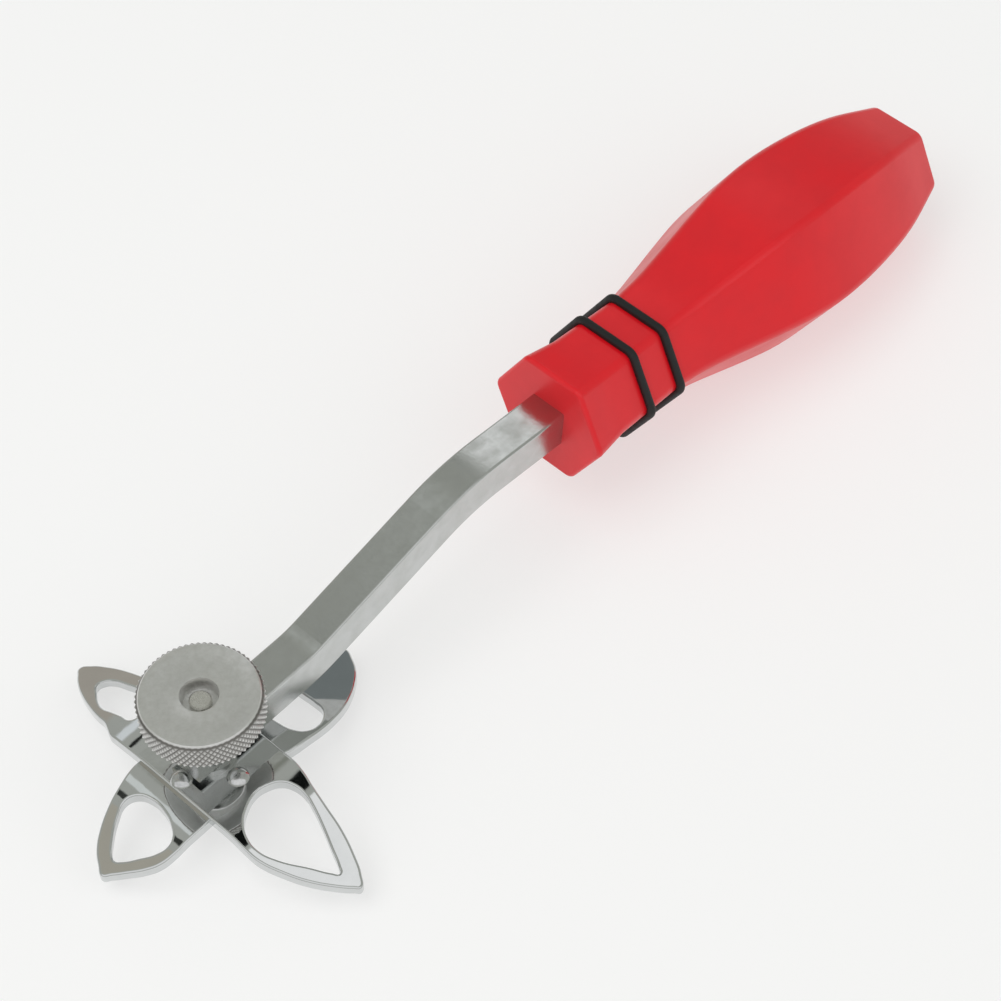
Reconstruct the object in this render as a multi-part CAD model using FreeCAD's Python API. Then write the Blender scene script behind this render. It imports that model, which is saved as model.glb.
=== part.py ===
"""Four-leaf can opener: a swivelling star of pierced leaves clamped to a cranked bar with a hexagonal grip.

Lengths are in millimetres. Until the last step the origin is on the star's turning axis, at the top of
the upper strip: +X runs along the arm to the grip, +Y to the left and +Z up.
"""
import FreeCAD, Part
import math
import os

V = FreeCAD.Vector

TOLERANCE = 1e-4

# ---- fits and small clearances ----
RUNNING_FIT = 0.05          # radial play of a turning or sliding fit
KEY_PLAY = 0.06             # play each side of the stud's flats
LAP_PLAY = 0.05             # play each side of the lower strip in the upper strip's recess
HEADROOM = 0.45             # bar clear of the rivet heads that pass under it
RIVET_CLEAR = 0.35          # rivet heads clear of the spacer washer
TAIL_CLEAR = 0.6            # rivet tails clear of the stud's head

# ---- star: two crossed strips ----
STRIP_HALF = 11.3           # half width of both strips at the hub
STRIP_THK = 3.2
LAP_DEPTH = 1.5             # recess under the upper strip that lets the lower one in
SHOULDER = STRIP_HALF + 0.6     # the strips are parallel-sided out to here
OUTLINE_MARGIN = 4.0        # spare length of the bent blank beyond a leaf's tip
BLANK_DEPTH = 30.0          # reach of the vertical cutters above and below the star

# ---- rivets through both strips ----
RIVET_SHANK = 1.2
RIVET_DOME = 2.55
RIVET_DOME_RISE = 1.35
RIVET_TAIL = 2.1
RIVET_TAIL_RISE = 0.7
RIVET_EDGE = 2.6            # rivet axis to the strip's edge
RIVET_CIRCLE = STRIP_HALF - RIVET_EDGE
RIVET_NAMES = ("rivet_front", "rivet_right", "rivet_rear", "rivet_left")

# ---- arm: square bar cranked up and levelled again ----
BAR_W = 9.6
BAR_H = 10.0
BAR_NOSE = 7.3              # square-cut end ahead of the turning axis
FIRST_STRAIGHT = 29.5       # turning axis to the first bend point
RISE_LEN = 50.9
RISE_ANGLE = 13.7
FALL_ANGLE = -6.2
FALL_LEN = 30.5             # second bend point to the grip's front face
FIRST_BEND_R = 26.0
SECOND_BEND_R = 55.0
BAR_EDGE_ROUND = 0.6
TANG_LEN = 40.0
TANG_NOTCH_AT = 24.0        # grip face to the cross notch that locks the tang
TANG_NOTCH_R = 1.6

# ---- clamp stack, from the top of the star upwards ----
SPACER_THK = RIVET_DOME_RISE + HEADROOM
SPACER_R = RIVET_CIRCLE - RIVET_DOME - RIVET_CLEAR
BAR_TOP = SPACER_THK + BAR_H
WASHER_R = 5.0
WASHER_THK = 1.0
NUT_SEAT = BAR_TOP + WASHER_THK
NUT_COLLAR_R = 6.5
NUT_COLLAR_H = 3.8
NUT_R = 14.0
NUT_HEAD_H = 7.2
NUT_HEAD_BOTTOM = NUT_SEAT + NUT_COLLAR_H
NUT_TOP = NUT_HEAD_BOTTOM + NUT_HEAD_H
NUT_TOP_CHAMFER = 0.9
NUT_LOWER_CHAMFER = 0.5
COUNTERBORE_R = 4.0
COUNTERBORE_DEPTH = 4.0

# ---- clamp stud: M5, dropped through the bar by three turns of the nut ----
STUD_R = 2.5
STUD_PITCH = 0.8
STUD_TRAVEL = 3.0 * STUD_PITCH
STUD_FLAT_DEPTH = 0.4       # each of two flats that key the stud in the bar
STUD_FLATS_TOP = BAR_TOP + STUD_TRAVEL + 0.4
STUD_TOP = NUT_TOP - 2.0
STUD_CHAMFER = 0.3
JOURNAL_R = STUD_R + 1.1    # the star turns on this shoulder of the stud
JOURNAL_TOP = SPACER_THK - 0.3
STUD_HEAD_R = RIVET_CIRCLE - RIVET_TAIL - TAIL_CLEAR
STUD_HEAD_THK = 2.2
STUD_HEAD_CHAMFER = 0.5
WASHER_PLAY = 0.15          # stud in the clamp washer

# ---- grip: hexagon with flats above and below; radii are to the corners ----
GRIP_LEN = 130.4
LIP_R = 16.8
LIP_LEN = 10.2
NECK_FRONT_R = 15.25
NECK_END = 30.0             # front face to the end of the neck
NECK_END_R = 14.75
SWELL_R = 23.7
BUTT_R = 14.5
# share of the length from the neck to the butt, and share of the swell's growth over a straight taper
SWELL_SHAPE = ((0.0, 0.0), (0.1, 0.13), (0.2, 0.375), (0.3, 0.64), (0.42, 0.91), (0.54, 1.0),
               (0.69, 0.885), (0.835, 0.59), (1.0, 0.0))

# ---- rubber rings round the neck ----
RING_AT = {"o_ring_front": 19.1, "o_ring_rear": NECK_END - 0.1}
RING_CORD_R = 1.05
RING_SINK = 0.45            # how deep the groove lets the cord in
RING_CORNER_R = 2.6


class Leaf:
    """One pierced leaf of the star, drawn outwards along +X with +Y to its left.

    left and right are points along its two edges from the hub outwards, tip is its end and hole is a loop.
    Each point is (distance from the turning axis, share of STRIP_HALF). droop is the leaf's slope in
    degrees past the bend, whose middle lies bend_at from the turning axis and whose centre line has radius
    bend_r.
    """

    def __init__(self, droop, bend_at, bend_r, tip, left, right, hole):
        self.droop = droop
        self.bend_at = bend_at
        self.bend_r = bend_r
        self.reach = tip[0]
        self.tip = self.station(tip)
        self.left = [self.station(point) for point in left]
        self.right = [self.station(point) for point in right]
        self.hole = [self.station(point) for point in hole]

    def station(self, point):
        """Plan point in millimetres."""
        return V(point[0], point[1] * STRIP_HALF, 0)


LEFT_LEAF = Leaf(
    droop=20.5, bend_at=19.5, bend_r=44.0, tip=(43.5, 0.09),
    left=((18.5, 1.0), (20.6, 0.99), (22.4, 0.92), (24.4, 0.845), (27.3, 0.81), (31.4, 0.725),
          (36.0, 0.585), (39.2, 0.445), (42.0, 0.26)),
    right=((16.0, -1.0), (18.8, -0.94), (21.2, -0.74), (24.0, -0.54), (27.5, -0.45), (30.9, -0.40),
           (34.0, -0.345), (37.8, -0.24), (41.3, -0.10)),
    hole=((19.4, 0.30), (20.3, 0.50), (22.8, 0.53), (25.3, 0.565), (28.3, 0.60), (30.9, 0.525),
          (33.1, 0.39), (35.1, 0.22), (34.5, 0.07), (32.6, -0.04), (29.5, -0.10), (25.0, -0.14),
          (21.2, -0.07), (19.6, 0.10)))
RIGHT_LEAF = Leaf(
    droop=15.5, bend_at=19.0, bend_r=50.0, tip=(44.7, 0.10),
    left=((15.0, 1.0), (18.5, 0.95), (22.0, 0.865), (27.0, 0.77), (33.0, 0.655), (39.0, 0.46),
          (42.5, 0.30)),
    right=((18.0, -1.0), (22.5, -1.01), (26.0, -0.985), (31.5, -0.80), (36.2, -0.575), (41.4, -0.22),
           (43.6, -0.03)),
    hole=((14.4, 0.0), (14.9, 0.25), (16.4, 0.48), (19.0, 0.60), (22.0, 0.62), (25.0, 0.555),
          (29.2, 0.42), (34.4, 0.22), (38.2, 0.07), (39.3, 0.0), (38.2, -0.10), (34.5, -0.32),
          (28.5, -0.68), (24.3, -0.82), (20.7, -0.78), (17.8, -0.62), (15.6, -0.35)))
FRONT_LEAF = Leaf(
    droop=19.3, bend_at=17.3, bend_r=34.0, tip=(34.4, 0.08),
    left=((14.0, 1.0), (17.5, 0.985), (21.3, 0.97), (24.9, 0.89), (27.9, 0.71), (30.7, 0.46),
          (32.9, 0.25)),
    right=((12.6, -1.0), (14.5, -0.98), (17.8, -0.91), (22.7, -0.785), (27.9, -0.575), (31.1, -0.365),
           (33.2, -0.12)),
    hole=((15.9, -0.18), (16.2, 0.22), (17.6, 0.52), (19.3, 0.69), (21.3, 0.74), (23.6, 0.67),
          (26.7, 0.45), (29.4, 0.22), (30.3, 0.08), (29.8, -0.03), (27.6, -0.22), (23.0, -0.48),
          (19.9, -0.575), (17.3, -0.47)))
REAR_LEAF = Leaf(
    droop=18.3, bend_at=18.5, bend_r=40.0, tip=(44.0, 0.27),
    left=((14.0, 1.03), (18.0, 1.06), (23.0, 1.06), (29.0, 1.0), (35.0, 0.87), (39.5, 0.68),
          (42.6, 0.48)),
    right=((13.0, -1.03), (18.0, -1.07), (22.8, -1.07), (26.7, -1.015), (30.6, -0.92), (34.5, -0.76),
           (38.0, -0.555), (40.8, -0.33), (42.8, -0.05)),
    hole=((16.3, 0.0), (16.5, -0.35), (17.6, -0.70), (19.6, -0.89), (22.3, -0.93), (24.8, -0.84),
          (26.3, -0.68), (26.5, -0.45), (26.2, -0.10), (25.8, 0.30), (24.5, 0.58), (21.6, 0.74),
          (18.6, 0.64), (16.9, 0.35)))


def bent_path(start, runs, radii):
    """Wire in the XZ plane from straight runs of (length, angle) and the radii of the arcs between them."""
    corners = [V(start[0], 0, start[1])]
    directions = []
    for length, angle in runs:
        direction = V(math.cos(math.radians(angle)), 0, math.sin(math.radians(angle)))
        directions.append(direction)
        corners.append(corners[-1] + direction * length)
    edges = []
    tail = corners[0]
    for i in range(1, len(corners) - 1):
        before = directions[i - 1]
        after = directions[i]
        radius = radii[i - 1]
        half_turn = before.getAngle(after) / 2.0
        setback = radius * math.tan(half_turn)
        arc_start = corners[i] - before * setback
        arc_end = corners[i] + after * setback
        inward = (after - before).normalize()
        centre = corners[i] + inward * (radius / math.cos(half_turn))
        middle = centre - inward * radius
        edges.append(Part.makeLine(tail, arc_start))
        edges.append(Part.Arc(arc_start, middle, arc_end).toShape())
        tail = arc_end
    edges.append(Part.makeLine(tail, corners[-1]))
    return Part.Wire(edges), corners, directions


def swept_rectangle(path, width, height, direction):
    """Solid of a width by height rectangle swept along a path that starts in the given direction."""
    start = path.Vertexes[0].Point
    across = V(0, width / 2.0, 0)
    up = V(-direction.z, 0, direction.x) * (height / 2.0)
    loop = [start - across - up, start + across - up, start + across + up, start - across + up]
    section = Part.makePolygon(loop + [loop[0]])
    return path.makePipeShell([section], True, False)


def turn_z(shape, degrees):
    """Copy of a shape turned about the vertical axis."""
    turned = shape.copy()
    turned.rotate(V(0, 0, 0), V(0, 0, 1), degrees)
    return turned


def leaf_curve(leaf):
    """Outline of one leaf, drawn towards +X, from its right shoulder round the tip to its left one."""
    shoulders = [V(SHOULDER, -STRIP_HALF, 0), V(SHOULDER, STRIP_HALF, 0)]
    curve = Part.BSplineCurve()
    curve.interpolate(Points=[shoulders[0]] + leaf.right + [leaf.tip] + leaf.left[::-1] + [shoulders[1]])
    return curve.toShape()


def hole_prism(leaf):
    """Vertical cutter for a leaf's hole, drawn towards +X."""
    curve = Part.BSplineCurve()
    curve.interpolate(Points=leaf.hole, PeriodicFlag=True)
    face = Part.Face(Part.Wire([curve.toShape()]))
    face.translate(V(0, 0, -BLANK_DEPTH))
    return face.extrude(V(0, 0, 2.0 * BLANK_DEPTH))


def strip_prism(ahead, behind):
    """Vertical prism of a strip's whole outline: leaf 'ahead' towards +X, leaf 'behind' towards -X."""
    first = leaf_curve(ahead)
    second = turn_z(leaf_curve(behind), 180.0)
    side_a = Part.makeLine(V(SHOULDER, STRIP_HALF, 0), V(-SHOULDER, STRIP_HALF, 0))
    side_b = Part.makeLine(V(-SHOULDER, -STRIP_HALF, 0), V(SHOULDER, -STRIP_HALF, 0))
    face = Part.Face(Part.Wire([first, side_a, second, side_b]))
    face.translate(V(0, 0, -BLANK_DEPTH))
    return face.extrude(V(0, 0, 2.0 * BLANK_DEPTH))


def bent_blank(ahead, behind):
    """Wide strip of sheet, level at the hub and drooping past both bend lines, its top at height 0."""
    middle = -STRIP_THK / 2.0
    width = 4.0 * STRIP_HALF
    halves = []
    for leaf, turn in ((ahead, 0.0), (behind, 180.0)):
        slope_len = (leaf.reach - leaf.bend_at + OUTLINE_MARGIN) / math.cos(math.radians(leaf.droop))
        runs = ((leaf.bend_at, 0.0), (slope_len, -leaf.droop))
        path, _, directions = bent_path((0.0, middle), runs, (leaf.bend_r,))
        halves.append(turn_z(swept_rectangle(path, width, STRIP_THK, directions[0]), turn))
    return halves[0].fuse(halves[1]).removeSplitter()


def strip(ahead, behind):
    """One strip of the star drawn along X: bent blank trimmed to its outline and pierced twice."""
    solid = bent_blank(ahead, behind).common(strip_prism(ahead, behind))
    solid = solid.cut(hole_prism(ahead)).cut(turn_z(hole_prism(behind), 180.0))
    return single(solid)


def single(shape):
    """The one solid inside a boolean result."""
    return max(shape.Solids, key=lambda s: s.Volume)


def rod(radius, low, high, x=0.0, y=0.0):
    """Upright cylinder between two heights."""
    return Part.makeCylinder(radius, high - low, V(x, y, low), V(0, 0, 1))


def rivet_places():
    """Rivet axes, in the order of RIVET_NAMES."""
    return ((-RIVET_CIRCLE, 0.0), (0.0, -RIVET_CIRCLE), (RIVET_CIRCLE, 0.0), (0.0, RIVET_CIRCLE))


def star_bottom():
    """Underside of the lower strip at the hub."""
    return LAP_DEPTH - 2.0 * STRIP_THK


def pierce_hub(solid):
    """Cut the journal hole and the four rivet holes."""
    solid = solid.cut(rod(JOURNAL_R + RUNNING_FIT, -BLANK_DEPTH, BLANK_DEPTH))
    for x, y in rivet_places():
        solid = solid.cut(rod(RIVET_SHANK, -BLANK_DEPTH, BLANK_DEPTH, x, y))
    return single(solid)


def make_strips():
    """Upper strip along Y with a recess beneath, and the lower strip along X let into it."""
    upper = turn_z(strip(LEFT_LEAF, RIGHT_LEAF), 90.0)
    recess_half = STRIP_HALF + LAP_PLAY
    recess = Part.makeBox(4.0 * STRIP_HALF, 2.0 * recess_half, STRIP_THK,
                          V(-2.0 * STRIP_HALF, -recess_half, LAP_DEPTH - 2.0 * STRIP_THK))
    upper = single(upper.cut(recess))
    lower = strip(REAR_LEAF, FRONT_LEAF)
    lower.translate(V(0, 0, LAP_DEPTH - STRIP_THK))
    return pierce_hub(upper), pierce_hub(lower)


def dome(radius, rise, x, y, z, up):
    """Spherical cap standing on height z."""
    ball_r = (radius * radius + rise * rise) / (2.0 * rise)
    ball = Part.makeSphere(ball_r, V(x, y, z + up * (rise - ball_r)))
    low = z if up > 0 else z - rise
    return ball.common(rod(radius + 1.0, low, low + rise, x, y))


def make_rivets():
    """Dome-headed rivets with a low formed tail under the lower strip."""
    rivets = {}
    for name, (x, y) in zip(RIVET_NAMES, rivet_places()):
        shank = rod(RIVET_SHANK, star_bottom(), 0.0, x, y)
        head = dome(RIVET_DOME, RIVET_DOME_RISE, x, y, 0.0, 1)
        tail = dome(RIVET_TAIL, RIVET_TAIL_RISE, x, y, star_bottom(), -1)
        rivets[name] = single(shank.fuse(head).fuse(tail).removeSplitter())
    return rivets


def make_stud():
    """Clamp stud: flat head, journal for the star, and a threaded shank with two key flats."""
    head_bottom = star_bottom() - STUD_HEAD_THK
    head = rod(STUD_HEAD_R, head_bottom, star_bottom())
    rim = [e for e in head.Edges if e.Length > 1.0 and abs(e.CenterOfMass.z - head_bottom) < TOLERANCE]
    head = head.makeChamfer(STUD_HEAD_CHAMFER, rim)
    journal = rod(JOURNAL_R, star_bottom(), JOURNAL_TOP)
    shank = rod(STUD_R, star_bottom(), STUD_TOP)
    tip = [e for e in shank.Edges if abs(e.CenterOfMass.z - STUD_TOP) < TOLERANCE]
    shank = shank.makeChamfer(STUD_CHAMFER, tip)
    half_flats = STUD_R - STUD_FLAT_DEPTH
    for low in (half_flats, -half_flats - STUD_R):
        corner = V(-2.0 * STUD_R, low, JOURNAL_TOP)
        shank = shank.cut(Part.makeBox(4.0 * STUD_R, STUD_R, STUD_FLATS_TOP - JOURNAL_TOP, corner))
    return single(head.fuse(journal).fuse(shank).removeSplitter())


def ring(outer, bore, low, high):
    """Plain washer."""
    return rod(outer, low, high).cut(rod(bore, low - 1.0, high + 1.0))


def make_nut():
    """Thumb nut: wide head over a narrow collar, bored for the stud and counterbored on top."""
    head = rod(NUT_R, NUT_HEAD_BOTTOM, NUT_TOP)
    top = [e for e in head.Edges if abs(e.CenterOfMass.z - NUT_TOP) < TOLERANCE]
    head = head.makeChamfer(NUT_TOP_CHAMFER, top)
    low = [e for e in head.Edges if abs(e.CenterOfMass.z - NUT_HEAD_BOTTOM) < TOLERANCE]
    head = head.makeChamfer(NUT_LOWER_CHAMFER, low)
    nut = head.fuse(rod(NUT_COLLAR_R, NUT_SEAT, NUT_HEAD_BOTTOM)).removeSplitter()
    nut = nut.cut(rod(COUNTERBORE_R, NUT_TOP - COUNTERBORE_DEPTH, NUT_TOP + 1.0))
    return single(nut.cut(rod(STUD_R + RUNNING_FIT, NUT_SEAT - 1.0, NUT_TOP)))


def arm_line(extra):
    """Centre line of the bar, with 'extra' length of tang beyond the grip's front face."""
    middle = SPACER_THK + BAR_H / 2.0
    runs = ((BAR_NOSE + FIRST_STRAIGHT, 0.0), (RISE_LEN, RISE_ANGLE), (FALL_LEN + extra, FALL_ANGLE))
    return bent_path((-BAR_NOSE, middle), runs, (FIRST_BEND_R, SECOND_BEND_R))


def grip_frame():
    """Centre of the grip's front face and the unit vectors along the grip and up from it."""
    _, corners, directions = arm_line(0.0)
    along = directions[-1]
    return corners[-1], along, V(-along.z, 0, along.x)


def is_end_edge(edge):
    """True for a straight edge that lies in a square section of the bar."""
    first = edge.Vertexes[0].Point
    last = edge.Vertexes[-1].Point
    level_across = abs(abs(first.y - last.y) - BAR_W) < TOLERANCE
    upright = abs(first.y - last.y) < TOLERANCE and abs(edge.Length - BAR_H) < TOLERANCE
    return edge.Curve.TypeId == "Part::GeomLine" and (level_across or upright)


def make_bar():
    """Square bar with its keyed stud hole and the notched tang."""
    path, _, directions = arm_line(TANG_LEN)
    bar = single(swept_rectangle(path, BAR_W, BAR_H, directions[0]))
    long_edges = [e for e in bar.Edges if not is_end_edge(e)]
    bar = bar.makeFillet(BAR_EDGE_ROUND, long_edges)
    keyway = rod(STUD_R + RUNNING_FIT, 0.0, BAR_TOP + 1.0)
    key_half = STUD_R - STUD_FLAT_DEPTH + KEY_PLAY
    slot = Part.makeBox(4.0 * STUD_R, 2.0 * key_half, BAR_TOP + 2.0, V(-2.0 * STUD_R, -key_half, -1.0))
    bar = bar.cut(keyway.common(slot))
    face, along, up = grip_frame()
    for side in (-1.0, 1.0):
        centre = face + along * TANG_NOTCH_AT + up * (side * BAR_H / 2.0) - V(0, BAR_W, 0)
        bar = bar.cut(Part.makeCylinder(TANG_NOTCH_R, 2.0 * BAR_W, centre, V(0, 1, 0)))
    return single(bar)


def hexagon(distance, radius):
    """Hexagonal section of the grip, its flats above and below."""
    face, along, up = grip_frame()
    centre = face + along * distance
    points = []
    for i in range(6):
        angle = math.radians(60.0 * i)
        points.append(centre + V(0, 1, 0) * (radius * math.cos(angle)) + up * (radius * math.sin(angle)))
    return Part.makePolygon(points + [points[0]])


def ring_path(distance, apothem):
    """Hexagonal loop with rounded corners round the neck."""
    face, along, up = grip_frame()
    centre = face + along * distance
    corner = apothem / math.cos(math.radians(30.0))
    setback = RING_CORNER_R * math.tan(math.radians(30.0))
    edges = []
    points = []
    for i in range(6):
        angle = math.radians(60.0 * i)
        points.append(centre + V(0, 1, 0) * (corner * math.cos(angle)) + up * (corner * math.sin(angle)))
    for i in range(6):
        here = points[i]
        following = points[(i + 1) % 6]
        after = points[(i + 2) % 6]
        run = (following - here).normalize()
        out = (after - following).normalize()
        arc_start = following - run * setback
        arc_end = following + out * setback
        inward = (centre - following).normalize()
        depth = RING_CORNER_R / math.cos(math.radians(30.0)) - RING_CORNER_R
        edges.append(Part.makeLine(here + run * setback, arc_start))
        edges.append(Part.Arc(arc_start, following + inward * depth, arc_end).toShape())
    return Part.Wire(edges)


def neck_apothem(distance):
    """Flat-to-centre distance of the grip's neck."""
    share = (distance - LIP_LEN) / (NECK_END - LIP_LEN)
    return (NECK_FRONT_R + (NECK_END_R - NECK_FRONT_R) * share) * math.cos(math.radians(30.0))


def swell_sections():
    """Hexagons from the neck over the swell to the butt."""
    sections = []
    growth = SWELL_R - (NECK_END_R + BUTT_R) / 2.0
    for share, bulge in SWELL_SHAPE:
        taper = NECK_END_R + (BUTT_R - NECK_END_R) * share
        sections.append(hexagon(NECK_END + share * (GRIP_LEN - NECK_END), taper + growth * bulge))
    return sections


def make_rings():
    """Rubber rings stretched round the neck."""
    rings = {}
    _, along, _ = grip_frame()
    for name, distance in RING_AT.items():
        path = ring_path(distance, neck_apothem(distance) + RING_CORD_R - RING_SINK)
        start = path.Edges[0].valueAt(path.Edges[0].FirstParameter)
        run = path.Edges[0].tangentAt(path.Edges[0].FirstParameter)
        circle = Part.Wire([Part.makeCircle(RING_CORD_R, start, run)])
        rings[name] = single(path.makePipeShell([circle], True, True))
    return rings


def make_grip(bar, rings):
    """Moulded grip, closed round the bar's tang, with a groove for each ring."""
    lip_end = hexagon(LIP_LEN, NECK_FRONT_R)
    lip = Part.makeLoft([hexagon(0.0, LIP_R), lip_end], True, True)
    neck = Part.makeLoft([lip_end, hexagon(NECK_END, NECK_END_R)], True, True)
    swell = Part.makeLoft(swell_sections(), True, False)
    grip = lip.fuse(neck).fuse(swell)
    grip = single(grip)
    grip = grip.cut(bar)
    for name in RING_AT:
        grip = grip.cut(rings[name])
    return single(grip)


def build():
    """All nodes by name, still in the star's frame."""
    nodes = {}
    nodes["upper_leaf_strip"], nodes["lower_leaf_strip"] = make_strips()
    nodes.update(make_rivets())
    nodes["clamp_stud"] = make_stud()
    nodes["spacer_washer"] = ring(SPACER_R, JOURNAL_R + RUNNING_FIT, 0.0, SPACER_THK)
    nodes["clamp_washer"] = ring(WASHER_R, STUD_R + WASHER_PLAY, BAR_TOP, NUT_SEAT)
    nodes["thumb_nut"] = make_nut()
    nodes["shank_bar"] = make_bar()
    rings = make_rings()
    nodes["handle_grip"] = make_grip(nodes["shank_bar"], rings)
    nodes.update(rings)
    return nodes


def place(nodes):
    """Move the origin to the centre of the whole box's base, and say where the turning axis went."""
    whole = Part.makeCompound(list(nodes.values()))
    box = whole.optimalBoundingBox(False, False)
    shift = V(-(box.XMin + box.XMax) / 2.0, -(box.YMin + box.YMax) / 2.0, -box.ZMin)
    for shape in nodes.values():
        shape.translate(shift)
    return shift, box


def main():
    """Write one STEP file per node."""
    nodes = build()
    shift, box = place(nodes)
    os.makedirs("parts", exist_ok=True)
    for name, shape in nodes.items():
        shape.exportStep("parts/" + name + ".step")
        print(name, "volume", round(shape.Volume, 1), "solids", len(shape.Solids), "valid", shape.isValid())
    face, along, up = grip_frame()
    butt = face + along * GRIP_LEN + shift
    print("axis at", [round(c, 4) for c in shift], "size", round(box.XLength, 2), round(box.YLength, 2),
          round(box.ZLength, 2))
    print("butt", [round(c, 4) for c in butt], "along", [round(c, 6) for c in along])


main()
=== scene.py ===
"""A manual can opener: four-leaved star, knurled thumb nut, bent square bar and six-sided red grip.

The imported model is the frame. The two leaf strips, the nut and the grip are remade here with rolled rims,
a real knurl and eased edges. The bar, stud, washers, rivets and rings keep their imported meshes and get
finishes.
"""

import logging
import math
from dataclasses import dataclass
from enum import Enum

import bmesh
import bpy
from mathutils import Matrix, Vector


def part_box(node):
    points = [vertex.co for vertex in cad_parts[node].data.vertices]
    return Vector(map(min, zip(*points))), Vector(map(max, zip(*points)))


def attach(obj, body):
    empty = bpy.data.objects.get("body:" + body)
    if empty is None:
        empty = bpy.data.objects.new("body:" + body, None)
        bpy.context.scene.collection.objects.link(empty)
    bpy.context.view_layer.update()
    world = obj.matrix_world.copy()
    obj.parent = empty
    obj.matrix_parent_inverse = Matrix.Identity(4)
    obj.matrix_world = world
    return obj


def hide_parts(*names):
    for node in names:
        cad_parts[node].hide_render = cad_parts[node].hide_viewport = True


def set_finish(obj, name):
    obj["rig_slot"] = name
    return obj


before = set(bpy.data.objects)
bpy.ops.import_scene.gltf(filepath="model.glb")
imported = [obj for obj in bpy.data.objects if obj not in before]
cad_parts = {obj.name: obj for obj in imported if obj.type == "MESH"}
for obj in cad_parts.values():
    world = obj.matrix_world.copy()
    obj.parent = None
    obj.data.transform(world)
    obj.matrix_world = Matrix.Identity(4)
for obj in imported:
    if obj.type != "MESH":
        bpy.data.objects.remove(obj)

LOG = logging.getLogger("can_opener")
MM = 0.001
UP = Vector((0.0, 0.0, 1.0))


class Body(Enum):
    """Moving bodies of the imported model."""

    ARM = "arm"
    NUT = "nut"
    STUD = "stud"
    STAR = "star"


# ---------------------------------------------------------------- small helpers


def linear(hex_colour: str) -> tuple[float, float, float, float]:
    """Turn an sRGB hex colour into linear light.

    Args:
        hex_colour: Colour written as #RRGGBB.

    Returns:
        Linear red, green, blue and an alpha of one.
    """
    channels = [int(hex_colour[i : i + 2], 16) / 255.0 for i in (1, 3, 5)]
    lit = [c / 12.92 if c <= 0.04045 else ((c + 0.055) / 1.055) ** 2.4 for c in channels]
    return (lit[0], lit[1], lit[2], 1.0)


def per_metre(size_mm: float) -> float:
    """Scale of a texture whose features are this many millimetres apart."""
    return 1.0 / (size_mm * MM)


def add_node(
    tree: bpy.types.NodeTree,
    kind: str,
    settings: dict[str, object] | None = None,
    inputs: dict[int | str, object] | None = None,
) -> bpy.types.Node:
    """Add one node with its settings, and its inputs as values or links.

    Args:
        tree: Node tree that gets the node.
        kind: Blender's type name of the node.
        settings: Properties of the node by name.
        inputs: Values or output sockets by the input's name or number.

    Returns:
        The new node.
    """
    node = tree.nodes.new(kind)
    for name, value in (settings or {}).items():
        setattr(node, name, value)
    for key, value in (inputs or {}).items():
        if isinstance(value, bpy.types.NodeSocket):
            tree.links.new(value, node.inputs[key])
        else:
            node.inputs[key].default_value = value
    return node


def maths(
    tree: bpy.types.NodeTree, operation: str, *values: bpy.types.NodeSocket | float
) -> bpy.types.NodeSocket:
    """Result of one Math node on its values, in order."""
    return add_node(tree, "ShaderNodeMath", {"operation": operation}, dict(enumerate(values))).outputs[0]


def object_from(bm: bmesh.types.BMesh, name: str, sharp_above: float) -> bpy.types.Object:
    """Close a bmesh into a smooth-shaded object at the origin.

    Args:
        bm: Finished geometry in the row frame, which is freed.
        name: Name of the object and its mesh.
        sharp_above: Edges bent more than this many degrees are shaded sharp.

    Returns:
        The linked object.
    """
    bmesh.ops.recalc_face_normals(bm, faces=bm.faces)
    mesh = bpy.data.meshes.new(name)
    bm.to_mesh(mesh)
    bm.free()
    mesh.shade_smooth()
    mesh.set_sharp_from_angle(angle=math.radians(sharp_above))
    piece = bpy.data.objects.new(name, mesh)
    bpy.context.scene.collection.objects.link(piece)
    return piece


def even_normals(piece: bpy.types.Object) -> None:
    """Let large flat faces rule the shading next to narrow rounded ones."""
    modifier = piece.modifiers.new("even_normals", "WEIGHTED_NORMAL")
    modifier.mode = "FACE_AREA"
    modifier.weight = 90
    modifier.keep_sharp = True


def through(stations: tuple[tuple[float, float], ...], at: float) -> float:
    """Height of a smooth curve through stations, by the Catmull-Rom rule.

    Args:
        stations: Pairs of place and height in rising order of place.
        at: Place between the first and the last.

    Returns:
        The height there.
    """
    last = len(stations) - 1
    i = max(k for k in range(last) if stations[k][0] <= at or k == 0)
    (x0, y0), (x1, y1) = stations[i], stations[i + 1]
    before = stations[max(i - 1, 0)]
    after = stations[min(i + 2, last)]
    slope0 = (y1 - before[1]) / (x1 - before[0])
    slope1 = (after[1] - y0) / (after[0] - x0)
    span = x1 - x0
    t = (at - x0) / span
    return (
        (2 * t**3 - 3 * t**2 + 1) * y0
        + (t**3 - 2 * t**2 + t) * span * slope0
        + (-2 * t**3 + 3 * t**2) * y1
        + (t**3 - t**2) * span * slope1
    )


# ---------------------------------------------------------------- finishes


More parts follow.
